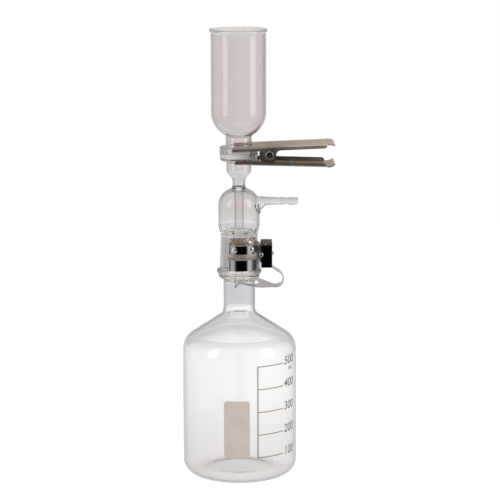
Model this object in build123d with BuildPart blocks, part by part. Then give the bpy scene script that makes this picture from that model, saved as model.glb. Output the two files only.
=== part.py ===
"""Vacuum filtration unit: glass funnel, fritted filter base with hose barb, and 500 mL receiver bottle.

Two stamped steel clamps hold the glass together: a spring clamp on the funnel flange and
a lever clamp with a spring fork on the ground joint of the bottle.

Frame: origin on the floor under the middle of the bottle, +Z up, +X towards the hose barb and
the clamp handles. Millimetres.
"""
import os
from math import asin, cos, degrees, radians, sin, tan

from build123d import *

os.makedirs("parts", exist_ok=True)

# Bottle
body_radius = 43.7
glass_wall = 2.0
heel_rounding = 10.5
punt_height = 1.8
shoulder_foot = 105.8        # height where the line of the shoulder meets the line of the wall
shoulder_angle = 33.0        # slope of the shoulder from level, degrees
neck_radius = 12.2
neck_bore = 10.3
collar_radius = 15.7
collar_top = 156.2

# Ground joint, taper 1 in 10 on the diameter
joint_foot = 157.0
joint_top = 187.3
joint_foot_radius = 12.0
joint_top_radius = 10.5
cone_bore = 8.3
joint_gap = 0.05

# Filter base
mouth_level = 156.6
mouth_flange_radius = 17.1
bulb_radius = 15.9
bulb_wall = 1.8
stem_radius = 4.95
stem_bore = 3.3
drip_tube_radius = 3.65
drip_bore = 2.3
drip_tip = 145.0
drip_bevel = 35.0
cup_radius = 9.65
cup_bore = 8.0
frit_radius = 9.5
frit_thickness = 3.6
flange_radius = 14.7
seal_level = 250.0

# Hose barb
arm_height = 212.6
arm_end = 45.2
arm_bore = 1.6
arm_root = 3.5              # outer radius of the arm where it leaves the bulb
arm_lean = 20.0             # slope of the swelling of glass at the arm's root, degrees

# Funnel
filter_gap = 0.1
funnel_flange_top = 254.5
funnel_neck_radius = 10.0
funnel_bore = 8.0
bowl_radius = 20.95
bowl_wall = 1.9
bowl_slope = 30.0            # slope of the bowl floor from level, degrees
bowl_foot = 263.0
bowl_rounding = 20.0
bead_radius = 22.0
funnel_top = 343.6

# Spring clamp on the funnel flange
sheet = 0.8
pivot_x = 23.0
pivot_z = 250.1
upper_slope = 2.2            # rise of the upper lever towards its handle, degrees
lower_slope = -1.75
lever_half_width = 15.9
upper_web = 5.51             # underside of the upper web above the pivot
lower_web = -8.2             # underside of the lower web below the pivot
flange_depth = 3.1
jaw_tip_upper = -27.9        # along the levers, from the pivot
jaw_tip_lower = -26.4
handle_end = 44.5
upper_slot = 10.7
lower_slot = 11.4
ear_outer = 14.5             # half distance over the inner ears
pin_radius = 1.6
fit_gap = 0.05
tight_gap = 0.02             # round rivets in their own holes
pin_head_radius = 3.0
pin_head = 1.0
pin_tube_bore = 1.1
wire_radius = 0.6
coil_radius = 3.2
coil_turns = 7.5
coil_pitch = 1.35
leg_bend = 4.0               # length over which each leg of the spring bends away from the coil
window = (-7.0, 4.4)         # along the lower lever, where the inner ears are lanced out of its web
window_web = 2.7             # half width of the web left between the two windows
ear_top = 3.2
ear_foot = -4.2              # lowest point of the upper lever's ears, from the pivot
hook_slot = (16.0, 21.0)     # along the lower lever, where the spring's hook is lanced up

# Lever clamp on the ground joint
sleeve_outer = 16.55
sleeve_sheet = 0.8
sleeve_foot = 161.1
sleeve_crimp = 180.6
sleeve_collar = 16.95        # radius of the rolled collar above the crimp
sleeve_top = 186.2
sleeve_top_radius = 15.5
sleeve_notch = 12.2          # the collar is cut away at the box, beyond this distance along X
dimple_radius = 2.4
dimple_rise = 0.8
sleeve_half_arc = 118.0      # each way from +X, degrees
dimple_angles = (52.0, 104.0)
dimple_level = 177.4
strap_inner = 16.6
strap_sheet = 0.7
strap_foot = 169.5
strap_top = 174.1
strap_reach = 122.5          # free end of each strap from +X, degrees
strap_ear = 9.9              # half distance over the strap ears
lever_pivot_x = 16.7
lever_pivot_z = 173.0
stub_radius = 1.0
stub_head = 1.6
box_inner = 10.0
box_right = 25.2
box_foot = 162.8
box_top = 181.0
box_swing_radius = 18.8
spring_sheet = 0.7
spring_half_width = 5.5
fork_half_width = 17.0
fork_slot = 13.0
fork_level = 159.0           # above it the spring is a plain strip, and below it widens into the fork
rivet_level = 172.0


def upright(angle):
    """Plane through the axis, with its x pointing out at the angle and its y pointing up."""
    a = radians(angle)
    return Plane(origin=(0, 0, 0), x_dir=(cos(a), sin(a), 0), z_dir=(sin(a), -cos(a), 0))


def sloped(x, z, slope):
    """Level plane through (x, 0, z), tilted by the slope about Y."""
    a = radians(slope)
    return Plane(origin=(x, 0, z), x_dir=(cos(a), 0, sin(a)), z_dir=(-sin(a), 0, cos(a)))


def side_of(plane):
    """Plane seen from the front: x along the given plane's x, and y along its normal."""
    return Plane(origin=plane.origin, x_dir=plane.x_dir, z_dir=(0, -1, 0))


def outline(corners):
    """Closed outline through (x, y, rounding) corners, for make_face."""
    with BuildLine() as edge:
        FilletPolyline(*[(x, y) for x, y, _ in corners], radius=[r for *_, r in corners], close=True)
    return edge.edges()


def shoulder(radius, inset=0.0):
    """Height of the bottle's shoulder at a radius; inset moves it in through the glass."""
    slope = radians(shoulder_angle)
    return shoulder_foot + (body_radius - radius) * tan(slope) - inset / cos(slope)


def bowl_floor(radius, inset=0.0):
    """Height of the underside of the funnel bowl at a radius; inset moves it up through the glass."""
    slope = radians(bowl_slope)
    return bowl_foot + (radius - funnel_neck_radius) * tan(slope) + inset / cos(slope)


# ---------------------------------------------------------------------------------------------
# Bottle: blown body with a punt, ground cone on top that stands in the base's socket
# ---------------------------------------------------------------------------------------------
body_bore = body_radius - glass_wall
bottle_outline = [
    (0, punt_height, 0),
    (20, punt_height, 25),
    (29.0, 0, 8),
    (body_radius, 0, heel_rounding),
    (body_radius, shoulder(body_radius), 15),
    (neck_radius, shoulder(neck_radius), 7),
    (neck_radius, 152.0, 1.5),
    (collar_radius, 154.3, 0.9),
    (collar_radius, collar_top, 0.6),
    (joint_foot_radius - joint_gap, collar_top, 0.3),
    (joint_foot_radius - joint_gap, joint_foot, 0),
    (joint_top_radius - joint_gap, joint_top, 0.5),
    (cone_bore, joint_top, 0.5),
    (cone_bore, 160.0, 6),
    (neck_bore, 150.0, 6),
    (neck_bore, shoulder(neck_bore, glass_wall), 8),
    (body_bore, shoulder(body_bore, glass_wall), 13),
    (body_bore, glass_wall, heel_rounding - glass_wall),
    (29.5, glass_wall, 10),
    (20, punt_height + glass_wall, 25),
    (0, punt_height + glass_wall, 0),
]

with BuildPart() as bottle:
    with BuildSketch(Plane.XZ):
        make_face(outline(bottle_outline))
    revolve(axis=Axis.Z)

# ---------------------------------------------------------------------------------------------
# Filter base: socket, bulb, hose barb, drip tube and filter seat, fused into one piece of glass
# ---------------------------------------------------------------------------------------------
base_outline = [
    (0, mouth_level, 0),
    (mouth_flange_radius, mouth_level, 1.6),
    (mouth_flange_radius, 159.6, 1.6),
    (14.9, 161.2, 1.2),
    (14.05, 186.2, 3),
    (bulb_radius, 194.2, 8),
    (bulb_radius, 218.6, 13),
    (stem_radius, 222.9, 2.6),
    (stem_radius, 229.6, 3.0),
    (cup_radius, 235.4, 4.5),
    (cup_radius, 243.0, 1.0),
    (flange_radius - 0.5, 244.4, 1.6),
    (flange_radius, seal_level, 0.6),
    (0, seal_level, 0),
]
bulb_bore = bulb_radius - bulb_wall
vacuum_space = [
    (0, mouth_level - 1, 0),
    (joint_foot_radius + 0.3, mouth_level - 1, 0),
    (joint_foot_radius, joint_foot, 0),
    (joint_top_radius, joint_top, 0),
    (joint_top_radius + 0.1, joint_top + 0.9, 0.4),
    (12.1, joint_top + 1.1, 0.8),
    (bulb_bore, 194.6, 7),
    (bulb_bore, 216.9, 11.2),
    (2.0, 221.1, 0),
    (0, 221.1, 0),
]
seat_level = seal_level - frit_thickness
filtrate_path = [
    (0, drip_tip - 1, 0),
    (drip_bore, drip_tip - 1, 0),
    (drip_bore, 222.6, 1.5),
    (stem_bore, 225.2, 1.5),
    (stem_bore, 230.4, 2.0),
    (cup_bore, 236.0, 3.5),
    (cup_bore, seat_level - 0.1, 0),
    (frit_radius + fit_gap, seat_level - 0.1, 0),
    (frit_radius + fit_gap, seal_level + 1, 0),
    (0, seal_level + 1, 0),
]
arm_outline = [
    (9.0, 0, 0),
    (9.0, arm_root, 0),
    (17.0, arm_root, 0),
    (31.6, 2.65, 0),
    (32.0, 3.15, 0.15),
    (37.7, 2.25, 0.15),
    (38.1, 3.3, 0.15),
    (arm_end, 2.5, 0.5),
    (arm_end, 0, 0),
]
arm_passage = [
    (10.0, 0, 0),
    (10.0, 3.6, 0),
    (17.0, 2.1, 6),
    (arm_end + 1, arm_bore, 0),
    (arm_end + 1, 0, 0),
]
arm_plane = Plane(origin=(0, 0, arm_height), x_dir=(1, 0, 0), z_dir=(0, -1, 0))
arm_axis = Axis(origin=(0, 0, arm_height), direction=(1, 0, 0))

# Hollow swelling at the root of the arm, larger below than above, along and out from its own line
arm_swelling = [
    (-2.0, 0, 0),
    (-2.0, 8.2, 0),
    (0, 8.2, 0),
    (1.9, 5.3, 4),
    (5.9, arm_root, 0),
    (5.9, 0, 0),
]
swelling_hollow = [
    (-4.0, 0, 0),
    (-4.0, 6.2, 0),
    (-0.6, 6.2, 0),
    (1.6, 3.5, 3),
    (5.9, 1.9, 0),
    (5.9, 0, 0),
]
swelling_foot = (13.6, 0, arm_height - 2.0)
swelling_line = (cos(radians(arm_lean)), 0, sin(radians(arm_lean)))
swelling_plane = Plane(origin=swelling_foot, x_dir=swelling_line, z_dir=(0, -1, 0))
swelling_axis = Axis(origin=swelling_foot, direction=swelling_line)

with BuildPart() as filter_base:
    with BuildSketch(Plane.XZ):
        make_face(outline(base_outline))
    revolve(axis=Axis.Z)
    with BuildSketch(arm_plane):
        make_face(outline(arm_outline))
    revolve(axis=arm_axis)
    with BuildSketch(swelling_plane):
        make_face(outline(arm_swelling))
    revolve(axis=swelling_axis)
    with BuildSketch(Plane.XZ):
        make_face(outline(vacuum_space))
    revolve(axis=Axis.Z, mode=Mode.SUBTRACT)
    with BuildSketch(arm_plane):
        make_face(outline(arm_passage))
    revolve(axis=arm_axis, mode=Mode.SUBTRACT)
    with BuildSketch(swelling_plane):
        make_face(outline(swelling_hollow))
    revolve(axis=swelling_axis, mode=Mode.SUBTRACT)
    with BuildSketch(Plane.XY.offset(drip_tip)):
        Circle(drip_tube_radius)
    extrude(amount=222.0 - drip_tip)
    with BuildSketch(Plane.XZ):
        make_face(outline(filtrate_path))
    revolve(axis=Axis.Z, mode=Mode.SUBTRACT)
    bevel_rise = 2 * drip_tube_radius * tan(radians(drip_bevel))
    with BuildSketch(Plane.XZ):
        with BuildLine():
            Polyline(
                (-drip_tube_radius - 1, drip_tip - 1),
                (drip_tube_radius + 1, drip_tip - 1),
                (drip_tube_radius + 1, drip_tip + bevel_rise),
                (drip_tube_radius, drip_tip + bevel_rise),
                (-drip_tube_radius, drip_tip),
                (-drip_tube_radius - 1, drip_tip),
                close=True,
            )
        make_face()
    extrude(amount=drip_tube_radius + 1, both=True, mode=Mode.SUBTRACT)

# ---------------------------------------------------------------------------------------------
# Frit: sintered glass disc in the seat of the base, flush with its flange
# ---------------------------------------------------------------------------------------------
with BuildPart() as frit_disc:
    with BuildSketch(Plane.XY.offset(seat_level)):
        Circle(frit_radius)
    extrude(amount=frit_thickness)

# ---------------------------------------------------------------------------------------------
# Funnel: cylindrical bowl on a flanged neck
# ---------------------------------------------------------------------------------------------
funnel_foot = seal_level + filter_gap
bowl_bore = bowl_radius - bowl_wall
funnel_outline = [
    (funnel_bore, funnel_foot, 0.3),
    (flange_radius, funnel_foot, 0.8),
    (flange_radius, funnel_flange_top, 0.9),
    (funnel_neck_radius, funnel_flange_top, 0.8),
    (funnel_neck_radius, bowl_floor(funnel_neck_radius), 1.6),
    (bowl_radius, bowl_floor(bowl_radius), bowl_rounding),
    (bowl_radius, 340.6, 1.5),
    (bead_radius, 341.7, 0.8),
    (bead_radius, funnel_top, 0.95),
    (20.1, funnel_top, 0.95),
    (bowl_bore, 341.4, 1.5),
    (bowl_bore, bowl_floor(bowl_bore, bowl_wall), bowl_rounding - bowl_wall),
    (funnel_bore, bowl_floor(funnel_bore, bowl_wall), 2.0),
]

with BuildPart() as funnel:
    with BuildSketch(Plane.XZ):
        make_face(outline(funnel_outline))
    revolve(axis=Axis.Z)

# ---------------------------------------------------------------------------------------------
# Spring clamp: two channel levers with forked jaws, a tubular pivot pin and a torsion spring
# ---------------------------------------------------------------------------------------------
upper_plane = sloped(pivot_x, pivot_z, upper_slope)
lower_plane = sloped(pivot_x, pivot_z, lower_slope)
lever_inner = lever_half_width - sheet
upper_face = upper_web + sheet
lower_face = lower_web + sheet

with BuildPart() as filter_clamp_upper_lever:
    upper_section = Plane(origin=upper_plane.origin, x_dir=(0, 1, 0), z_dir=upper_plane.x_dir)
    with BuildSketch(upper_section.offset(jaw_tip_upper)):
        make_face(outline([
            (-lever_half_width, ear_foot, 0),
            (-lever_half_width, upper_face, 1.2),
            (lever_half_width, upper_face, 1.2),
            (lever_half_width, ear_foot, 0),
            (lever_inner, ear_foot, 0),
            (lever_inner, upper_web, 0.4),
            (-lever_inner, upper_web, 0.4),
            (-lever_inner, ear_foot, 0),
        ]))
    extrude(amount=handle_end - jaw_tip_upper)
    flange_edge = upper_face - flange_depth
    with BuildSketch(side_of(upper_plane)):
        make_face(outline([
            (jaw_tip_upper, upper_face + 1, 0),
            (jaw_tip_upper, flange_edge, 1.0),
            (-4.7, flange_edge, 1.5),
            (-4.7, ear_foot, 3.3),
            (5.0, ear_foot, 3.3),
            (5.0, flange_edge, 3.6),
            (handle_end - 0.9, flange_edge, 2.0),
            (handle_end - 0.9, upper_web, 0),
            (handle_end, upper_web, 0),
            (handle_end, upper_face + 1, 0),
        ]))
    extrude(amount=lever_half_width + 1, both=True, mode=Mode.INTERSECT)
    with BuildSketch(side_of(upper_plane)):
        with BuildLine() as upper_lip:
            Line((handle_end - 0.3, upper_web + sheet / 2), (handle_end, upper_web + sheet / 2))
            RadiusArc((handle_end, upper_web + sheet / 2), (handle_end + 5.0, upper_web - 0.6), 11.0)
        trace(line_width=sheet)
    extrude(amount=lever_half_width, both=True)
    with BuildSketch(upper_plane):
        with Locations((-pivot_x, 0)):
            Circle(upper_slot)
        with Locations((-pivot_x - 15, 0)):
            Rectangle(30, 2 * upper_slot)
    extrude(amount=upper_face + 1, mode=Mode.SUBTRACT)
    with BuildSketch(side_of(upper_plane)):
        Circle(pin_radius + fit_gap)
    extrude(amount=lever_half_width + 1, both=True, mode=Mode.SUBTRACT)

window_middle = (window[0] + window[1]) / 2
window_length = window[1] - window[0]
ear_inner = ear_outer - sheet
hook_y = coil_turns * coil_pitch / 2

with BuildPart() as filter_clamp_lower_lever:
    lower_section = Plane(origin=lower_plane.origin, x_dir=(0, 1, 0), z_dir=lower_plane.x_dir)
    lower_flange_edge = lower_web + flange_depth
    with BuildSketch(lower_section.offset(jaw_tip_lower)):
        make_face(outline([
            (-lever_half_width, lower_flange_edge, 0),
            (-lever_half_width, lower_web, 1.2),
            (lever_half_width, lower_web, 1.2),
            (lever_half_width, lower_flange_edge, 0),
            (lever_inner, lower_flange_edge, 0),
            (lever_inner, lower_face, 0.4),
            (-lever_inner, lower_face, 0.4),
            (-lever_inner, lower_flange_edge, 0),
        ]))
    extrude(amount=handle_end - jaw_tip_lower)
    with BuildSketch(side_of(lower_plane)):
        make_face(outline([
            (jaw_tip_lower, lower_web - 1, 0),
            (jaw_tip_lower, lower_web, 0),
            (jaw_tip_lower + 1.3, lower_flange_edge, 0.8),
            (handle_end - 1.6, lower_flange_edge, 2.2),
            (handle_end - 1.6, lower_face, 0),
            (handle_end, lower_face, 0),
            (handle_end, lower_web - 1, 0),
        ]))
    extrude(amount=lever_half_width + 1, both=True, mode=Mode.INTERSECT)
    with BuildSketch(side_of(lower_plane)):
        with BuildLine() as lower_lip:
            Line((handle_end - 0.3, lower_web + sheet / 2), (handle_end, lower_web + sheet / 2))
            RadiusArc((handle_end, lower_web + sheet / 2), (handle_end + 5.0, lower_web + 2.6), -6.8)
        trace(line_width=sheet)
    extrude(amount=lever_half_width, both=True)
    with BuildSketch(side_of(lower_plane)):
        make_face(outline([
            (window[0], lower_web + 0.1, 0),
            (window[0], ear_top, 3.4),
            (window[1], ear_top, 3.4),
            (window[1], lower_web + 0.1, 0),
        ]))
    extrude(amount=ear_outer, both=True)
    with BuildSketch(side_of(lower_plane)):
        with Locations((window_middle, 0)):
            Rectangle(window_length + 2, 2 * (ear_top + 1))
        with Locations((window_middle, lower_face / 2)):
            Rectangle(window_length, -lower_face)
    extrude(amount=ear_inner, both=True, mode=Mode.SUBTRACT)
    with BuildSketch(lower_plane):
        with Locations((-pivot_x, 0)):
            Circle(lower_slot)
        with Locations((-pivot_x - 15, 0)):
            Rectangle(30, 2 * lower_slot)
        for side in (1, -1):
            with Locations((window_middle, side * (window_web + ear_inner) / 2)):
                Rectangle(window_length, ear_inner - window_web)
        with Locations(((hook_slot[0] + hook_slot[1]) / 2, hook_y)):
            Rectangle(hook_slot[1] - hook_slot[0], 6.0)
    extrude(amount=lower_web - 1, mode=Mode.SUBTRACT)
    with BuildSketch(side_of(lower_plane).offset(-hook_y)):
        with BuildLine():
            Polyline(
                (hook_slot[1] + 0.4, lower_web + sheet / 2),
                (hook_slot[1] - 0.4, lower_web + sheet / 2),
                (hook_slot[1] - 2.4, lower_web + 2.3),
            )
        trace(line_width=sheet)
    extrude(amount=2.4, both=True)
    with BuildSketch(side_of(lower_plane)):
        Circle(pin_radius + fit_gap)
    extrude(amount=lever_half_width + 1, both=True, mode=Mode.SUBTRACT)

with BuildPart() as filter_clamp_pivot_pin:
    pin_plane = Plane(origin=(pivot_x, 0, pivot_z), x_dir=(1, 0, 0), z_dir=(0, -1, 0))
    head_inner = lever_half_width + fit_gap
    with BuildSketch(pin_plane):
        Circle(pin_radius)
    extrude(amount=head_inner + 0.5, both=True)
    for side in (1, -1):
        with BuildSketch(pin_plane.offset(side * head_inner)):
            Circle(pin_head_radius)
        extrude(amount=side * pin_head)
    rims = filter_clamp_pivot_pin.edges().filter_by(GeomType.CIRCLE).group_by(Axis.Y)
    fillet(rims[0] + rims[-1], radius=0.6)
    for side in (1, -1):
        with BuildSketch(pin_plane.offset(side * (head_inner + pin_head))):
            Circle(pin_tube_bore)
        extrude(amount=-side * 2.0, mode=Mode.SUBTRACT)

coil_length = coil_turns * coil_pitch
upper_leg_end = (pivot_x + 17.0, -coil_length / 2, pivot_z + upper_web + 0.65 - wire_radius - fit_gap)
lower_leg_end = (pivot_x + 17.6, coil_length / 2, pivot_z + lower_face - 0.35 + wire_radius)
with BuildPart() as filter_clamp_spring:
    with BuildLine() as coil:
        Helix(
            pitch=coil_pitch,
            height=coil_length,
            radius=coil_radius,
            center=(pivot_x, -coil_length / 2, pivot_z),
            direction=(0, 1, 0),
            lefthand=True,
        )
    with BuildSketch(Plane(origin=coil.line @ 0, z_dir=coil.line % 0)):
        Circle(wire_radius)
    sweep(path=coil.line, is_frenet=True)
    wire_ends = (
        (coil.line @ 0, -(coil.line % 0), upper_leg_end),
        (coil.line @ 1, coil.line % 1, lower_leg_end),
    )
    for root, direction, tip in wire_ends:
        with BuildLine() as leg:
            Bezier(root, root + direction * leg_bend, Vector(tip) - (leg_bend, 0, 0), tip)
        with BuildSketch(Plane(origin=root, z_dir=direction)):
            Circle(wire_radius)
        sweep(path=leg.line)

# ---------------------------------------------------------------------------------------------
# Lever clamp: open sleeve, two straps, two stub pivots, box lever, spring fork and its rivet
# ---------------------------------------------------------------------------------------------
sleeve_inner = sleeve_outer - sleeve_sheet

with BuildPart() as joint_clamp_sleeve:
    with BuildSketch(upright(-sleeve_half_arc)):
        make_face(outline([
            (sleeve_inner, sleeve_foot, 0),
            (sleeve_outer, sleeve_foot, 0),
            (sleeve_outer, sleeve_crimp, 0),
            (sleeve_collar, sleeve_crimp + 0.7, 0.5),
            (sleeve_collar, sleeve_crimp + 2.8, 2.0),
            (sleeve_top_radius, sleeve_top, 0),
            (sleeve_top_radius - sleeve_sheet, sleeve_top, 0),
            (sleeve_collar - sleeve_sheet, sleeve_crimp + 2.8, 1.2),
            (sleeve_collar - sleeve_sheet, sleeve_crimp + 1.2, 0),
            (sleeve_inner, sleeve_crimp + 0.4, 0),
        ]))
    revolve(axis=Axis.Z, revolution_arc=2 * sleeve_half_arc)
    for angle in dimple_angles:
        for side in (1, -1):
            a = radians(side * angle)
            with BuildSketch(upright(side * angle)):
                make_face(outline([
                    (sleeve_inner + 0.2, dimple_level, 0),
                    (sleeve_inner + 0.2, dimple_level + dimple_radius, 0),
                    (sleeve_outer - 0.2, dimple_level + dimple_radius, 0),
                    (sleeve_outer + dimple_rise, dimple_level + 0.9, 1.2),
                    (sleeve_outer + dimple_rise, dimple_level, 0),
                ]))
            revolve(axis=Axis(origin=(0, 0, dimple_level), direction=(cos(a), sin(a), 0)))
    with BuildSketch(Plane.XY.offset(sleeve_crimp - 0.7)):
        with Locations((sleeve_notch, 0)):
            Rectangle(10, 40, align=(Align.MIN, Align.CENTER))
    extrude(amount=10, mode=Mode.SUBTRACT)

strap_outer = strap_inner + strap_sheet
strap_turn = degrees(asin((strap_ear - 0.7) / strap_outer))
strap_middle = (strap_foot + strap_top) / 2


def strap(side):
    """One strap: a crowned band round half the sleeve that ends in a flat ear at the pivot."""
    with BuildPart() as band:
        start = side * strap_reach if side < 0 else strap_turn
        with BuildSketch(upright(start)):
            make_face(outline([
                (strap_inner, strap_foot, 0),
                (strap_outer - 0.3, strap_foot, 0),
                (strap_outer + 0.2, strap_middle, 3.5),
                (strap_outer - 0.3, strap_top, 0),
                (strap_inner, strap_top, 0),
            ]))
        revolve(axis=Axis.Z, revolution_arc=strap_reach - strap_turn)
        with BuildSketch(Plane.XZ.offset(-side * (strap_ear - strap_sheet))):
            make_face(outline([
                (14.1, strap_foot, 0),
                (14.1, strap_top, 0),
                (lever_pivot_x + 2.1, lever_pivot_z + 1.9, 1.8),
                (lever_pivot_x + 2.1, lever_pivot_z - 2.1, 1.8),
                (lever_pivot_x, strap_foot, 0),
            ]))
        extrude(amount=-side * strap_sheet)
        with BuildSketch(Plane.XZ):
            with Locations((lever_pivot_x, lever_pivot_z)):
                Circle(stub_radius + tight_gap)
        extrude(amount=-side * (strap_ear + 2), mode=Mode.SUBTRACT)
    return band


joint_clamp_front_strap = strap(-1)
joint_clamp_rear_strap = strap(1)

box_outer = box_inner + sheet
with BuildPart() as joint_clamp_lever:
    with BuildSketch(Plane.XY.offset(box_foot)):
        Rectangle(box_right, 2 * box_outer, align=(Align.MIN, Align.CENTER))
    extrude(amount=box_top - box_foot)
    upright_edges = joint_clamp_lever.edges().filter_by(Axis.Z).group_by(Axis.X)[-1]
    fillet(upright_edges, radius=0.5)
    with BuildSketch(Plane.XY.offset(box_foot - 1)):
        Rectangle(box_right - sheet, 2 * box_inner, align=(Align.MIN, Align.CENTER))
    extrude(amount=box_top - sheet - box_foot + 1, mode=Mode.SUBTRACT)
    with BuildSketch(Plane.XY.offset(box_top - 2)):
        Circle(box_swing_radius)
    extrude(amount=4, mode=Mode.SUBTRACT)
    with BuildSketch(Plane.XZ):
        make_face(outline([
            (lever_pivot_x - 2.0, lever_pivot_z - 2.0, 1.7),
            (lever_pivot_x - 2.0, lever_pivot_z + 2.0, 1.7),
            (lever_pivot_x - 0.1, lever_pivot_z + 2.0, 0),
            (lever_pivot_x - 0.1, box_top + 1, 0),
            (box_right + 1, box_top + 1, 0),
            (box_right + 1, box_foot - 1, 0),
            (lever_pivot_x - 0.1, box_foot - 1, 0),
            (lever_pivot_x - 0.1, lever_pivot_z - 2.0, 0),
        ]))
    extrude(amount=box_outer + 1, both=True, mode=Mode.INTERSECT)
    with BuildSketch(Plane.XZ):
        with Locations((lever_pivot_x, lever_pivot_z)):
            Circle(stub_radius + fit_gap)
    extrude(amount=box_outer + 1, both=True, mode=Mode.SUBTRACT)
    with BuildSketch(Plane.YZ.offset(box_right - 3)):
        with Locations((0, rivet_level)):
            Circle(stub_radius + tight_gap)
        with Locations((0, box_foot)):
            Rectangle(2 * spring_half_width + 1, 3.2)
    extrude(amount=4, mode=Mode.SUBTRACT)

stub_outer = box_outer + fit_gap
stub_inner = strap_ear - strap_sheet - tight_gap
with BuildPart() as joint_clamp_pivots:
    for side in (1, -1):
        stub_plane = Plane(origin=(lever_pivot_x, 0, lever_pivot_z), x_dir=(1, 0, 0), z_dir=(0, side, 0))
        with BuildSketch(stub_plane.offset(stub_inner - 0.6)):
            Circle(1.5)
        extrude(amount=0.6)
        with BuildSketch(stub_plane.offset(stub_inner - 0.1)):
            Circle(stub_radius)
        extrude(amount=stub_outer - stub_inner + 0.2)
        with BuildSketch(stub_plane.offset(stub_outer)):
            Circle(stub_head)
        extrude(amount=0.9)
    heads = joint_clamp_pivots.edges().filter_by(GeomType.CIRCLE).group_by(Axis.Y)
    fillet(heads[0] + heads[-1], radius=0.75)

spring_face = box_right - sheet - fit_gap
spring_line = spring_face - spring_sheet / 2
fork_slope = -0.19
fork_peak = (0.0, 151.9)
loop_side = 33.7


def fork_run(x):
    """Height of the lower run of the fork's centre line at x."""
    return fork_peak[1] + (x - fork_peak[0]) * fork_slope


with BuildPart() as joint_clamp_spring_fork:
    with BuildSketch(Plane.XZ):
        with BuildLine():
            FilletPolyline(
                (spring_line, 177.0),
                (spring_line, 162.6),
                (loop_side, 156.4),
                (loop_side, fork_run(loop_side)),
                fork_peak,
                (-3.6, 149.6),
                radius=[2.0, 5.5, 6.0, 1.6],
            )
        trace(line_width=spring_sheet)
    extrude(amount=fork_half_width, both=True)
    with BuildSketch(Plane.XY.offset(140)):
        make_face(outline([
            (40, -spring_half_width, 0),
            (26, -spring_half_width, 5),
            (15.5, -fork_half_width, 4),
            (-6, -fork_half_width, 0),
            (-6, fork_half_width, 0),
            (15.5, fork_half_width, 4),
            (26, spring_half_width, 5),
            (40, spring_half_width, 0),
        ]))
    extrude(amount=40, mode=Mode.INTERSECT)
    with BuildSketch(Plane.XY.offset(140)):
        with Locations((2.0, 0)):
            Circle(fork_slot)
        with Locations((-10, 0)):
            Rectangle(23, 2 * fork_slot)
    extrude(amount=20, mode=Mode.SUBTRACT)
    with BuildSketch(Plane.XY.offset(fork_level)):
        for side in (1, -1):
            with Locations((20, side * (spring_half_width + fork_half_width) / 2)):
                Rectangle(40, fork_half_width - spring_half_width)
    extrude(amount=box_top - fork_level, mode=Mode.SUBTRACT)
    with BuildSketch(Plane.YZ):
        with Locations((0, rivet_level)):
            Circle(stub_radius + tight_gap)
    extrude(amount=box_right + 1, mode=Mode.SUBTRACT)

with BuildPart() as joint_clamp_rivet:
    with BuildSketch(Plane.YZ.offset(spring_face - spring_sheet - 0.62)):
        with Locations((0, rivet_level)):
            Circle(1.6)
    extrude(amount=0.6)
    with BuildSketch(Plane.YZ.offset(spring_face - spring_sheet - 0.1)):
        with Locations((0, rivet_level)):
            Circle(stub_radius)
    extrude(amount=spring_sheet + sheet + 0.4)
    with BuildSketch(Plane.YZ.offset(box_right + tight_gap)):
        with Locations((0, rivet_level)):
            Circle(stub_head)
    extrude(amount=1.6)
    dome = joint_clamp_rivet.edges().filter_by(GeomType.CIRCLE).group_by(Axis.X)[-1]
    fillet(dome, radius=1.1)

# ---------------------------------------------------------------------------------------------
# One STEP file for each piece
# ---------------------------------------------------------------------------------------------
pieces = {
    "bottle": bottle,
    "filter_base": filter_base,
    "frit_disc": frit_disc,
    "funnel": funnel,
    "filter_clamp_upper_lever": filter_clamp_upper_lever,
    "filter_clamp_lower_lever": filter_clamp_lower_lever,
    "filter_clamp_pivot_pin": filter_clamp_pivot_pin,
    "filter_clamp_spring": filter_clamp_spring,
    "joint_clamp_sleeve": joint_clamp_sleeve,
    "joint_clamp_front_strap": joint_clamp_front_strap,
    "joint_clamp_rear_strap": joint_clamp_rear_strap,
    "joint_clamp_pivots": joint_clamp_pivots,
    "joint_clamp_lever": joint_clamp_lever,
    "joint_clamp_spring_fork": joint_clamp_spring_fork,
    "joint_clamp_rivet": joint_clamp_rivet,
}
for name, piece in pieces.items():
    piece.part.label = name
    export_step(piece.part, f"parts/{name}.step")
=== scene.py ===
"""Looks of a vacuum filtration unit: clear blown glass, print on the bottle, and two steel clamps."""
import math

import bmesh
import bpy
from mathutils import Matrix, Vector


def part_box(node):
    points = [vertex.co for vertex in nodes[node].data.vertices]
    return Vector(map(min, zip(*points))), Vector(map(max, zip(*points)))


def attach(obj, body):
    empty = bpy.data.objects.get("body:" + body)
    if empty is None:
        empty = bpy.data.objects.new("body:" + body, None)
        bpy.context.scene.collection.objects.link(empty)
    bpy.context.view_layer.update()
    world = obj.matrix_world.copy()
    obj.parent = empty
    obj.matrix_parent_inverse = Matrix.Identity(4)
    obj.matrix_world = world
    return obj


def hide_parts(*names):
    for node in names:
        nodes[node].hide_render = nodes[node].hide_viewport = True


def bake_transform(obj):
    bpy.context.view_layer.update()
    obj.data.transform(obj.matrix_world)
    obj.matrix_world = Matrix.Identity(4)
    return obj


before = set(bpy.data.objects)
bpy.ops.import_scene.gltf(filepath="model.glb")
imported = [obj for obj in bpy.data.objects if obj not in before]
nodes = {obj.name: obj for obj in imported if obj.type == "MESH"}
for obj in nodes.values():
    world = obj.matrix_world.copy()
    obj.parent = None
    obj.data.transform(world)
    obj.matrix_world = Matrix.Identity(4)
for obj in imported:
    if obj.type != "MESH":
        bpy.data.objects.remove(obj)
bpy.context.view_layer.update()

MM = 0.001
GLASS_BODY = "glassware"

bottle_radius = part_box("bottle")[1].x
funnel_low, funnel_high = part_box("funnel")
rim_bead = 0.85 * MM        # how far the funnel's rim stands proud of its wall
bowl_radius = funnel_high.x - rim_bead


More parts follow.
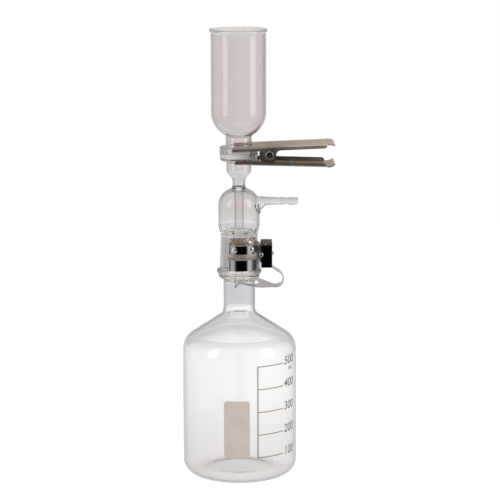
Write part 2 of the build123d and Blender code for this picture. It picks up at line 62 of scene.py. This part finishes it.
# ---------------------------------------------------------------------------------------------
# Material helpers
# ---------------------------------------------------------------------------------------------
class Nodes:
    """Short calls for building one node tree."""

    def __init__(self, tree):
        self.tree = tree
        tree.nodes.clear()

    def add(self, kind, **values):
        """A node; keys with a leading underscore are its properties, the others its sockets."""
        node = self.tree.nodes.new(kind)
        for key, value in values.items():
            if key.startswith("_"):
                if not key[1:].isdigit():
                    setattr(node, key[1:], value)
        for key, value in values.items():
            if not key.startswith("_"):
                self.put(node, key.replace("_", " "), value)
            elif key[1:].isdigit():
                self.put(node, int(key[1:]), value)
        return node

    def put(self, node, socket, value):
        """Links an output to a named or numbered input, or writes a plain value there."""
        target = node.inputs[socket]
        if isinstance(value, bpy.types.NodeSocket):
            self.tree.links.new(value, target)
        else:
            target.default_value = value

    def math(self, operation, a, b=None, clamp=False):
        node = self.add("ShaderNodeMath", _operation=operation, _use_clamp=clamp)
        self.put(node, 0, a)
        if b is not None:
            self.put(node, 1, b)
        return node.outputs[0]

    def opposite(self, value):
        """One minus value."""
        return self.math("SUBTRACT", 1.0, value)

    def length(self, a, b):
        """Length of the vector (a, b)."""
        squares = self.math("ADD", self.math("MULTIPLY", a, a), self.math("MULTIPLY", b, b))
        return self.math("SQRT", squares)

    def place(self):
        """X, Y and Z of the object's own coordinates."""
        coordinates = self.add("ShaderNodeTexCoord").outputs["Object"]
        return self.add("ShaderNodeSeparateXYZ", Vector=coordinates).outputs

    def ramp(self, value, low, high, out_low=0.0, out_high=1.0):
        """A smooth step of value from low to high."""
        node = self.add("ShaderNodeMapRange", _interpolation_type="SMOOTHSTEP")
        for i, number in enumerate((value, low, high, out_low, out_high)):
            self.put(node, i, number)
        return node.outputs[0]

    def noise(self, scale, stretch=(1, 1, 1), detail=3.0, roughness=0.5):
        """Noise over the object's own coordinates, in features per metre, stretched along axes."""
        place = self.add("ShaderNodeTexCoord").outputs["Object"]
        mapping = self.add("ShaderNodeMapping", Vector=place, Scale=stretch)
        node = self.add("ShaderNodeTexNoise", Vector=mapping.outputs[0], Scale=scale, Detail=detail)
        self.put(node, "Roughness", roughness)
        return node.outputs["Fac"]

    def mixed(self, factor, first, second):
        """Blend of two colours; each is a plain colour or an output."""
        node = self.add("ShaderNodeMix", _data_type="RGBA")
        self.put(node, 0, factor)
        for socket, colour in ((6, first), (7, second)):
            self.put(node, socket, (*colour, 1) if isinstance(colour, tuple) else colour)
        return node.outputs[2]

    def bump(self, height, distance):
        return self.add("ShaderNodeBump", Height=height, Distance=distance, Strength=1.0).outputs[0]


def new_material(name):
    material = bpy.data.materials.new(name)
    material.use_nodes = True
    return material, Nodes(material.node_tree)


def dress(obj, material):
    """Gives the whole piece one material."""
    obj.data.materials.clear()
    obj.data.materials.append(material)
    for polygon in getattr(obj.data, "polygons", ()):
        polygon.material_index = 0


def glass(name, tint, absorb, density, gloss=0.5, ground=None, frost_and_painted_light=()):
    """Clear blown glass. ground is a ground joint's band: its lowest and highest level and its
    least and greatest radius, in metres. frost_and_painted_light lists bands painted pale, as their
    lowest and highest level and how pale they look: partly the frost of a ground flange, and on rims
    and the ends of the joint painted light that stands in for the bright backdrop seen in the glass."""
    material, n = new_material(name)
    waves = n.noise(28, (1, 1, 0.6), detail=1.5)
    ripple = n.noise(140, (1, 1, 0.35), detail=2.0)
    height = n.math("ADD", waves, n.math("MULTIPLY", ripple, 0.12))
    shader = n.add("ShaderNodeBsdfPrincipled", Base_Color=(*tint, 1), IOR=1.472)
    shader.inputs["Transmission Weight"].default_value = 1.0
    shader.inputs["Specular IOR Level"].default_value = gloss
    # Painted light, partly frost: each band is mixed towards a pale warm colour and made less clear
    if frost_and_painted_light:
        z = n.place()[2]
        paleness = 0.0
        for lowest, highest, share in frost_and_painted_light:
            low = n.ramp(z, lowest - 0.4 * MM, lowest + 0.4 * MM)
            high = n.ramp(z, highest + 0.4 * MM, highest - 0.4 * MM, 0.0, share)
            paleness = n.math("ADD", paleness, n.math("MULTIPLY", low, high))
        n.put(shader, "Base Color", n.mixed(paleness, tint, (0.86, 0.82, 0.78)))
        n.put(shader, "Transmission Weight", n.opposite(paleness))
    if ground:
        x, y, z = n.place()
        radius = n.length(x, y)
        lowest, highest, narrow, wide = ground
        fade = 0.6 * MM
        band = n.math("MULTIPLY", n.ramp(z, lowest, lowest + fade), n.ramp(z, highest, highest - fade))
        ring = n.math("MULTIPLY", n.math("GREATER_THAN", radius, narrow), n.math("LESS_THAN", radius, wide))
        band = n.math("MULTIPLY", band, ring)
        grain = n.noise(5200, detail=2)
        rough = n.math("ADD", n.math("MULTIPLY", grain, 0.05), 0.04)
        n.put(shader, "Roughness", n.math("MULTIPLY", band, rough))
        height = n.math("ADD", height, n.math("MULTIPLY", n.math("MULTIPLY", grain, band), 0.05))
    else:
        shader.inputs["Roughness"].default_value = 0.0
    n.put(shader, "Normal", n.bump(height, 0.03 * MM))
    clear = n.add("ShaderNodeBsdfTransparent", Color=(0.93, 0.93, 0.925, 1))
    path = n.add("ShaderNodeLightPath")
    mix = n.add("ShaderNodeMixShader")
    n.put(mix, 0, path.outputs["Is Shadow Ray"])
    n.put(mix, 1, shader.outputs[0])
    n.put(mix, 2, clear.outputs[0])
    out = n.add("ShaderNodeOutputMaterial", Surface=mix.outputs[0])
    inside = n.add("ShaderNodeVolumeAbsorption", Color=(*absorb, 1), Density=density)
    n.put(out, "Volume", inside.outputs[0])
    return material


def steel(name, light, dark, roughness, grain, mottle=60, relief=0.02 * MM, metallic=1.0,
          brighter_along_x=None, painted_dark_band=None, painted_dark_colour=(0.27, 0.23, 0.20), pivot_shade=None):
    """Sheet steel: grain is the stretch of its rolling marks along X, Y and Z. brighter_along_x is the
    stretch along X, in metres, over which it turns from darker to brighter, and painted_dark_band the
    one along Z over which it turns rougher and takes painted_dark_colour as painted shade. pivot_shade
    is the (x, z, reach) of painted shade round a pivot."""
    material, n = new_material(name)
    marks = n.noise(900, grain, detail=4, roughness=0.6)
    blotches = n.noise(mottle, detail=3)
    mixed = n.math("ADD", n.math("MULTIPLY", marks, 0.55), n.math("MULTIPLY", blotches, 0.45))
    shade = n.ramp(mixed, 0.35, 0.65)
    if brighter_along_x:
        x = n.place()[0]
        shade = n.math("ADD", n.math("MULTIPLY", shade, 0.4), n.ramp(x, *brighter_along_x, 0.0, 0.65), clamp=True)
    colour = n.mixed(shade, dark, light)
    rough = n.ramp(mixed, 0.3, 0.7, roughness * 0.8, roughness * 1.25)
    # Painted shade: along Z the steel is painted darker in a given colour, in patches, and made rougher
    if painted_dark_band:
        z = n.place()[2]
        patchy = n.ramp(n.noise(420, detail=3), 0.32, 0.55, 0.45, 1.0)
        dark_band_mask = n.math("MULTIPLY", n.ramp(z, *painted_dark_band), patchy)
        colour = n.mixed(dark_band_mask, colour, painted_dark_colour)
        rough = n.math("ADD", rough, n.math("MULTIPLY", dark_band_mask, 0.5))
    # Painted shade round the pivot: within reach of it the steel is painted dark
    if pivot_shade:
        centre_x, centre_z, reach = pivot_shade
        x, _, z = n.place()
        off = n.length(n.math("SUBTRACT", x, centre_x), n.math("SUBTRACT", z, centre_z))
        pivot_shade_colour = n.mixed(blotches, (0.12, 0.105, 0.09), (0.36, 0.33, 0.30))
        colour = n.mixed(n.ramp(off, reach, reach * 0.5), colour, pivot_shade_colour)
    shader = n.add("ShaderNodeBsdfPrincipled", Base_Color=colour, Metallic=metallic, Roughness=rough)
    n.put(shader, "Normal", n.bump(marks, relief))
    n.add("ShaderNodeOutputMaterial", Surface=shader.outputs[0])
    return material


def print_material(name, light, dark):
    """Fired ceramic print, with a faint unevenness of its ink."""
    material, n = new_material(name)
    grain = n.noise(2600, detail=3)
    patches = n.noise(90, detail=2)
    mixed = n.math("ADD", n.math("MULTIPLY", grain, 0.5), n.math("MULTIPLY", patches, 0.5))
    shader = n.add(
        "ShaderNodeBsdfPrincipled",
        Base_Color=n.mixed(n.ramp(mixed, 0.3, 0.7), dark, light),
        Roughness=n.ramp(mixed, 0.3, 0.7, 0.5, 0.7),
    )
    n.put(shader, "Normal", n.bump(grain, 0.00001))
    n.add("ShaderNodeOutputMaterial", Surface=shader.outputs[0])
    return material


def frit_material():
    """Sintered glass: white grains with pores."""
    material, n = new_material("sintered_glass")
    place = n.add("ShaderNodeTexCoord").outputs["Object"]
    grains = n.add("ShaderNodeTexVoronoi", Vector=place, Scale=3500.0).outputs["Distance"]
    shader = n.add(
        "ShaderNodeBsdfPrincipled",
        Base_Color=n.mixed(grains, (0.86, 0.86, 0.84), (0.7, 0.7, 0.68)),
        Roughness=0.75,
    )
    n.put(shader, "Normal", n.bump(grains, 0.00008))
    n.add("ShaderNodeOutputMaterial", Surface=shader.outputs[0])
    return material


# ---------------------------------------------------------------------------------------------
# Print on the glass
# ---------------------------------------------------------------------------------------------
film_top = 0.03 * MM
film_foot = 0.01 * MM


def on_wall(along, height, radius, proud):
    """A point standing proud of a glass wall, at an arc length along it from the front towards +X."""
    angle = along / radius
    r = radius + proud
    return Vector((r * math.sin(angle), -r * math.cos(angle), height))


def wrapped(name, flat, radius, material):
    """Wraps flat faces, given as lists of (arc length, height), round a wall as a thin film."""
    mesh = bmesh.new()
    for face in flat:
        outer = [mesh.verts.new(on_wall(s, h, radius, film_top)) for s, h in face]
        inner = [mesh.verts.new(on_wall(s, h, radius, film_foot)) for s, h in face]
        mesh.faces.new(outer)
        mesh.faces.new(reversed(inner))
        for i in range(len(face)):
            j = (i + 1) % len(face)
            mesh.faces.new((outer[j], outer[i], inner[i], inner[j]))
    bmesh.ops.remove_doubles(mesh, verts=mesh.verts, dist=1e-8)
    bmesh.ops.recalc_face_normals(mesh, faces=mesh.faces)
    data = bpy.data.meshes.new(name)
    mesh.to_mesh(data)
    mesh.free()
    obj = bpy.data.objects.new(name, data)
    bpy.context.scene.collection.objects.link(obj)
    dress(obj, material)
    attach(obj, GLASS_BODY)
    return obj


def bar(start, end, low, high, step=0.0012):
    """Faces of a bar along the wall from start to end, cut into short pieces so that it bends."""
    count = max(1, math.ceil((end - start) / step))
    cuts = [start + (end - start) * i / count for i in range(count + 1)]
    return [[(a, low), (b, low), (b, high), (a, high)] for a, b in zip(cuts, cuts[1:])]


def rounded_patch(left, right, low, high, corner):
    """A patch with round corners, as upright strips."""
    faces = []
    steps = 8
    edges = [left + corner * (1 - math.cos(math.radians(90 * i / steps))) for i in range(steps + 1)]
    middle = 24
    edges += [left + corner + (right - left - 2 * corner) * i / middle for i in range(1, middle)]
    edges += [right - corner * (1 - math.cos(math.radians(90 * i / steps))) for i in range(steps, -1, -1)]

    def inset(s):
        reach = max(left + corner - s, s - right + corner, 0)
        return corner - math.sqrt(max(corner ** 2 - reach ** 2, 0))

    for a, b in zip(edges, edges[1:]):
        faces.append([(a, low + inset(a)), (b, low + inset(b)), (b, high - inset(b)), (a, high - inset(a))])
    return faces


def lettering(text, size):
    """Outline of plain text as flat faces, with its lower left corner at the origin."""
    curve = bpy.data.curves.new("text", "FONT")
    curve.body = text
    curve.size = size
    curve.fill_mode = "FRONT"
    curve.offset = size * 0.012
    obj = bpy.data.objects.new("text", curve)
    bpy.context.scene.collection.objects.link(obj)
    depsgraph = bpy.context.evaluated_depsgraph_get()
    mesh = bpy.data.meshes.new_from_object(obj.evaluated_get(depsgraph))
    flat = [[tuple(mesh.vertices[i].co.xy) for i in p.vertices] for p in mesh.polygons]
    bpy.data.objects.remove(obj)
    bpy.data.curves.remove(curve)
    bpy.data.meshes.remove(mesh)
    return flat


def moved(flat, along, up, slant):
    """Flat faces moved along and up the wall, leaning by slant for each unit of height."""
    return [[(s + along + h * slant, h + up) for s, h in face] for face in flat]


def arc_length(angle, radius):
    return math.radians(angle) * radius


ink = print_material("fired_print", (0.25, 0.22, 0.195), (0.19, 0.165, 0.145))
patch_ink = print_material("fired_patch", (0.66, 0.585, 0.515), (0.59, 0.52, 0.455))

# The bottle's scale: an upright rule, and a line and a number at each hundred millilitres
scale_foot = 0.0217
scale_step = 0.01775
scale_rows = 5
line_width = 0.0007
rule = arc_length(17.3, bottle_radius)
rule_end = arc_length(48.7, bottle_radius)
scale_faces = []
for row in range(scale_rows):
    level = scale_foot + row * scale_step
    scale_faces += bar(rule, rule_end, level - line_width / 2, level + line_width / 2)
rule_height = scale_step * (scale_rows - 1)
rule_pieces = 40
levels = [scale_foot - line_width / 2 + i * rule_height / rule_pieces for i in range(rule_pieces + 1)]
for low, high in zip(levels, levels[1:]):
    edge = rule + line_width * 1.3
    scale_faces.append([(rule, low), (edge, low), (edge, high), (rule, high)])
wrapped("bottle_scale_lines", scale_faces, bottle_radius, ink)

number_size = 0.0092
unit_size = 0.005
number_place = arc_length(50.0, bottle_radius)
unit_place = arc_length(57, bottle_radius)
slant = 0.12
number_faces = []
for row in range(scale_rows):
    digits = lettering(str(100 * (row + 1)), number_size)
    number_faces += moved(digits, number_place, scale_foot + row * scale_step - 0.0016, slant)
unit_level = scale_foot + rule_height - 0.0066
number_faces += moved(lettering("mL", unit_size), unit_place, unit_level, slant)
wrapped("bottle_scale_numbers", number_faces, bottle_radius, ink)

# The patch to write on, left of the scale
patch_left = arc_length(-16.4, bottle_radius)
patch_right = arc_length(9.5, bottle_radius)
patch = rounded_patch(patch_left, patch_right, low=0.0220, high=0.0667, corner=0.0028)
wrapped("bottle_writing_patch", patch, bottle_radius, patch_ink)

# The funnel's scale: short and long ticks in turn at its right side
tick_foot = 0.2980
tick_step = 0.0073
tick_width = 0.0003
tick_start = arc_length(60, bowl_radius)
tick_faces = []
for row in range(5):
    level = tick_foot + tick_step * row
    end = arc_length(72 if row % 2 else 68, bowl_radius)
    tick_faces += bar(tick_start, end, level - tick_width / 2, level + tick_width / 2)
wrapped("funnel_scale_lines", tick_faces, bowl_radius, ink)

# ---------------------------------------------------------------------------------------------
# Materials of the CAD nodes
# ---------------------------------------------------------------------------------------------
pin_low, pin_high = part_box("filter_clamp_pivot_pin")
pivot = (pin_low + pin_high) / 2
box_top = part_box("joint_clamp_lever")[1].z
sleeve_collar_foot = 180.2 * MM
seal_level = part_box("filter_base")[1].z
# Bands of the glass: the ground joint, and the rims, flanges and joint ends painted pale with how pale
# # each looks, partly the frost of the ground flanges and partly painted light
joint_low = 157.2 * MM
joint_high = 187.2 * MM
bottle_collar = (joint_low - 5 * MM, joint_low - 1.5 * MM, 0.15)
bottle_mouth = (joint_high - MM, joint_high, 0.35)
base_foot = (joint_low, joint_low + 3.5 * MM, 0.2)
base_waist = (joint_high - 0.8 * MM, joint_high + 2.5 * MM, 0.22)
base_flange = (seal_level - 3.5 * MM, seal_level, 0.18)
funnel_flange = (funnel_low.z, funnel_low.z + 4.5 * MM, 0.18)
funnel_rim = (funnel_high.z - 3.0 * MM, funnel_high.z, 0.36)
bottle_glass = glass(
    "bottle_glass", (0.985, 0.985, 0.985), (0.80, 0.80, 0.79), 20,
    frost_and_painted_light=(bottle_collar, bottle_mouth),
    ground=(joint_low, joint_high, 9.6 * MM, 12.2 * MM),
)
base_glass = glass(
    "base_glass", (0.98, 0.977, 0.974), (0.78, 0.76, 0.74), 50, gloss=1.0,
    frost_and_painted_light=(base_flange, base_foot, base_waist),
    ground=(joint_low, joint_high, 9.6 * MM, 12.4 * MM),
)
funnel_glass = glass(
    "funnel_glass", (0.975, 0.967, 0.961), (0.76, 0.73, 0.71), 100, gloss=1.0,
    frost_and_painted_light=(funnel_rim, funnel_flange),
)
# Both levers are painted dark round the pivot: painted shade
clamp_steel = steel("clamp_steel", (0.80, 0.69, 0.61), (0.28, 0.23, 0.19), 0.27, (0.05, 1, 1),
                    metallic=0.78, brighter_along_x=(0.02, 0.085), pivot_shade=(pivot.x, pivot.z, 8 * MM))
# The lower lever's steel is a darker copy of the upper lever's: painted shade
shaded_lower_steel = steel("lower_clamp_steel_painted_shade", (0.64, 0.55, 0.48), (0.27, 0.225, 0.19), 0.27, (0.05, 1, 1),
                    metallic=0.85, brighter_along_x=(0.02, 0.085), pivot_shade=(pivot.x, pivot.z, 8 * MM))
pin_steel = steel("pin_steel", (0.62, 0.58, 0.54), (0.40, 0.37, 0.34), 0.22, (1, 1, 1))
spring_wire = steel("spring_wire", (0.30, 0.28, 0.26), (0.16, 0.15, 0.14), 0.3, (1, 1, 1))
polished = 0.004 * MM
bright_steel = steel("bright_steel", (0.78, 0.76, 0.74), (0.66, 0.63, 0.60), 0.09, (1, 1, 0.1),
                     relief=polished)
# Above the collar's foot the sleeve is painted browner and darker: painted shade that dims the lamps'
# highlights
sleeve_steel = steel("sleeve_steel", (0.78, 0.76, 0.76), (0.66, 0.64, 0.63), 0.09, (1, 1, 0.1),
                     relief=polished, painted_dark_band=(sleeve_collar_foot, sleeve_collar_foot + MM))
# The box's top face is painted nearly black: a painted dark reflection
box_steel = steel("box_steel", (0.74, 0.73, 0.73), (0.64, 0.62, 0.62), 0.1, (1, 1, 0.1),
                  relief=polished, painted_dark_band=(box_top - 1.2 * MM, box_top - 0.6 * MM),
                  painted_dark_colour=(0.045, 0.037, 0.03))
fork_steel = steel("fork_steel", (0.82, 0.86, 0.91), (0.66, 0.69, 0.73), 0.24, (1, 0.2, 1), metallic=0.7)
strap_steel = steel("strap_steel", (0.46, 0.415, 0.375), (0.31, 0.275, 0.245), 0.55, (0.6, 0.6, 1),
                    mottle=260)

finishes = {
    "bottle": bottle_glass,
    "filter_base": base_glass,
    "frit_disc": frit_material(),
    "funnel": funnel_glass,
    "filter_clamp_upper_lever": clamp_steel,
    "filter_clamp_lower_lever": shaded_lower_steel,
    "filter_clamp_pivot_pin": pin_steel,
    "filter_clamp_spring": spring_wire,
    "joint_clamp_sleeve": sleeve_steel,
    "joint_clamp_front_strap": strap_steel,
    "joint_clamp_rear_strap": strap_steel,
    "joint_clamp_pivots": bright_steel,
    "joint_clamp_lever": box_steel,
    "joint_clamp_spring_fork": fork_steel,
    "joint_clamp_rivet": bright_steel,
}
for name, material in finishes.items():
    dress(nodes[name], material)

# The spring's upper leg turns with the upper lever; a copy of the spring, its modifiers removed and its
# transform baked in, stands in its place
spring = nodes["filter_clamp_spring"].copy()
spring.data = nodes["filter_clamp_spring"].data.copy()
spring.name = "filter_clamp_spring_wire"
spring.parent = None
spring.hide_render = False
spring.hide_viewport = False
bpy.context.scene.collection.objects.link(spring)
for modifier in list(spring.modifiers):
    spring.modifiers.remove(modifier)
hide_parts("filter_clamp_spring")
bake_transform(spring)


# ---------------------------------------------------------------------------------------------
# Stage, light and camera
# ---------------------------------------------------------------------------------------------
# What a ray through the glass sees of the floor, by its distance from the object in metres
ring_reach = 2.0
ring_colours = (
    (0.0, (0.80, 0.78, 0.765)),
    (0.10, (0.855, 0.835, 0.825)),
    (0.23, (0.98, 0.965, 0.95)),
    (0.40, (1.0, 1.0, 1.0)),
    (0.43, (0.95, 0.95, 0.955)),
    (0.47, (0.84, 0.845, 0.86)),
    (0.51, (0.77, 0.775, 0.79)),
    (0.59, (0.64, 0.645, 0.67)),
    (0.80, (0.63, 0.64, 0.68)),
    (0.96, (0.86, 0.85, 0.855)),
    (1.08, (0.74, 0.72, 0.715)),
    (1.25, (0.63, 0.60, 0.585)),
    (1.45, (0.70, 0.65, 0.63)),
    (2.00, (0.72, 0.675, 0.66)),
)

internal_loss = 0.35    # share of the background lost once light has bounced inside the glass

# What polished metal sees round about, by the azimuth from the front towards +X in degrees
walls = (
    (-180, 1.0), (-120, 0.9), (-75, 0.55), (-57, 0.45), (-51, 0.06), (-45, 0.5), (-27, 0.42), (-15, 0.01),
    (38, 0.008), (46, 0.5), (56, 0.6), (68, 0.45), (84, 0.08), (125, 0.12), (150, 0.9), (180, 1.0),
)


def studio_walls(n, x, y):
    """Colour of the studio walls in the direction (x, y)."""
    azimuth = n.math("DIVIDE", n.math("ARCTAN2", x, n.math("MULTIPLY", y, -1.0)), 2 * math.pi)
    level = n.add("ShaderNodeFloatCurve", Value=n.math("ADD", azimuth, 0.5))
    curve = level.mapping.curves[0]
    curve.points[0].location = (0.0, walls[0][1])
    curve.points[1].location = (1.0, walls[-1][1])
    for degrees, brightness in walls[1:-1]:
        curve.points.new(degrees / 360 + 0.5, brightness)
    return n.mixed(level.outputs[0], (0, 0, 0), (1.0, 0.98, 1.0))


def after_bounce(n, path):
    """Share of the background that is left once light has bounced inside the glass."""
    bounced = n.math("GREATER_THAN", path["Glossy Depth"], 0.5)
    return n.opposite(n.math("MULTIPLY", bounced, internal_loss))


def make_floor():
    """White paper. Rays through the glass see it brightest in a ring behind the object."""
    data = bpy.data.meshes.new("floor")
    half = 6.0
    corners = [(-half, -half, 0), (half, -half, 0), (half, half, 0), (-half, half, 0)]
    data.from_pydata(corners, [], [(0, 1, 2, 3)])
    floor = bpy.data.objects.new("floor", data)
    floor.location.z = -0.0004
    bpy.context.scene.collection.objects.link(floor)
    material, n = new_material("floor_white")
    path = n.add("ShaderNodeLightPath").outputs
    place = n.add("ShaderNodeTexCoord").outputs["Object"]
    x, y, _ = n.add("ShaderNodeSeparateXYZ", Vector=place).outputs
    away = n.add("ShaderNodeVectorMath", _operation="LENGTH", _0=place).outputs["Value"]
    ring = n.add("ShaderNodeValToRGB", Fac=n.math("DIVIDE", away, ring_reach))
    stops = ring.color_ramp.elements
    while len(stops) < len(ring_colours):
        stops.new(0.5)
    for stop, (distance, colour) in zip(stops, ring_colours):
        stop.position = distance / ring_reach
        stop.color = (*colour, 1)
    side = n.ramp(x, -0.05, 0.03, 0.93, 1.0)
    camera_ray = path["Is Camera Ray"]
    through = n.math("MULTIPLY", path["Is Transmission Ray"], n.opposite(camera_ray))
    glossy = n.math("MULTIPLY", path["Is Glossy Ray"], n.opposite(path["Is Transmission Ray"]))
    shown = n.math("MULTIPLY", through, n.math("MULTIPLY", side, after_bounce(n, path)))
    # Metal sees the walls mirrored in the far floor, and plain paper near the object
    near = n.ramp(away, 0.55, 0.30)
    wall = n.mixed(near, studio_walls(n, x, y), (0.7, 0.7, 0.7))
    seen = n.mixed(camera_ray, n.mixed(glossy, (0, 0, 0), wall), (0.78, 0.78, 0.78))
    seen = n.mixed(shown, seen, ring.outputs["Color"])
    glow = n.add("ShaderNodeEmission", Color=seen, Strength=1.0)
    # The lit part of the paper, which keeps the object's shadow
    shade = n.math("ADD", n.math("MULTIPLY", camera_ray, 0.36), n.math("MULTIPLY", through, 0.08))
    others = n.math("ADD", camera_ray, n.math("ADD", through, glossy))
    dull = n.math("SUBTRACT", 1.0, others, clamp=True)
    shade = n.math("ADD", shade, n.math("MULTIPLY", dull, 0.7))
    paper = n.add("ShaderNodeBsdfDiffuse", Color=n.mixed(shade, (0, 0, 0), (1, 1, 1)))
    both = n.add("ShaderNodeAddShader")
    n.put(both, 0, paper.outputs[0])
    n.put(both, 1, glow.outputs[0])
    n.add("ShaderNodeOutputMaterial", Surface=both.outputs[0])
    dress(floor, material)


def make_world():
    """White backdrop, with a warm grey room above it that only polished metal shows."""
    world = bpy.data.worlds.new("studio")
    bpy.context.scene.world = world
    world.use_nodes = True
    n = Nodes(world.node_tree)
    path = n.add("ShaderNodeLightPath").outputs
    direction = n.add("ShaderNodeSeparateXYZ", Vector=n.add("ShaderNodeTexCoord").outputs["Generated"])
    x, y, z = direction.outputs
    back = n.ramp(y, -0.1, 0.4)
    above = n.ramp(z, 0.02, 0.12)
    overhead = n.ramp(z, 0.6, 0.9)
    white = (1, 1, 1)
    wall = studio_walls(n, x, y)
    room = n.mixed(back, (0.27, 0.235, 0.21), (0.48, 0.42, 0.38))
    mirrored = n.mixed(above, wall, room)
    mirrored = n.mixed(overhead, mirrored, (0.9, 0.88, 0.86))
    transmitted = n.mixed(after_bounce(n, path), (0, 0, 0), (0.70, 0.67, 0.655))
    ambient = (0.62, 0.62, 0.62)
    colour = n.mixed(path["Is Glossy Ray"], ambient, mirrored)
    colour = n.mixed(path["Is Transmission Ray"], colour, transmitted)
    colour = n.mixed(path["Is Camera Ray"], colour, white)
    sky = n.add("ShaderNodeBackground", Color=colour, Strength=1.0)
    n.add("ShaderNodeOutputWorld", Surface=sky.outputs[0])


def softbox(name, azimuth, width):
    """A tall flat lamp at an azimuth in degrees from the front towards +X, aimed at the clamps."""
    distance = 1.25
    height = 1.3
    level = 0.55
    radiance = 3.1
    aim = 0.2
    lamp = bpy.data.lights.new(name, "AREA")
    lamp.shape = "RECTANGLE"
    lamp.size = width
    lamp.size_y = height
    lamp.energy = radiance * width * height * math.pi
    obj = bpy.data.objects.new(name, lamp)
    a = math.radians(azimuth)
    obj.location = (distance * math.sin(a), -distance * math.cos(a), level)
    toward = Vector((0, 0, aim)) - obj.location
    obj.rotation_euler = toward.to_track_quat("-Z", "Y").to_euler()
    obj.visible_camera = False
    obj.visible_transmission = False
    bpy.context.scene.collection.objects.link(obj)


def make_camera():
    """Long lens a little above the funnel's rim, looking down at the bottle."""
    distance = 1.590
    height = 0.485
    pitch = 11.0
    azimuth = 0.5
    roll = 0.22
    data = bpy.data.cameras.new("camera")
    data.lens = 152.46
    data.sensor_width = 36.0
    data.shift_x = 0.0218
    data.shift_y = -0.0034
    camera = bpy.data.objects.new("camera", data)
    a = math.radians(azimuth)
    camera.location = (-distance * math.sin(a), -distance * math.cos(a), height)
    camera.rotation_mode = "XYZ"
    look = Vector((math.sin(a), math.cos(a), -math.tan(math.radians(pitch))))
    turn = look.to_track_quat("-Z", "Y").to_matrix().to_4x4()
    camera.rotation_euler = (turn @ Matrix.Rotation(math.radians(-roll), 4, "Z")).to_euler()
    bpy.context.scene.collection.objects.link(camera)
    bpy.context.scene.camera = camera


make_floor()
make_world()
softbox("left_softbox", azimuth=-57, width=0.50)
softbox("right_softbox", azimuth=62, width=0.58)
make_camera()
# Light crosses many glass walls on its way through the joint
scene = bpy.context.scene
scene.view_settings.view_transform = "Standard"
scene.cycles.max_bounces = 24
scene.cycles.transmission_bounces = 24
scene.cycles.glossy_bounces = 16
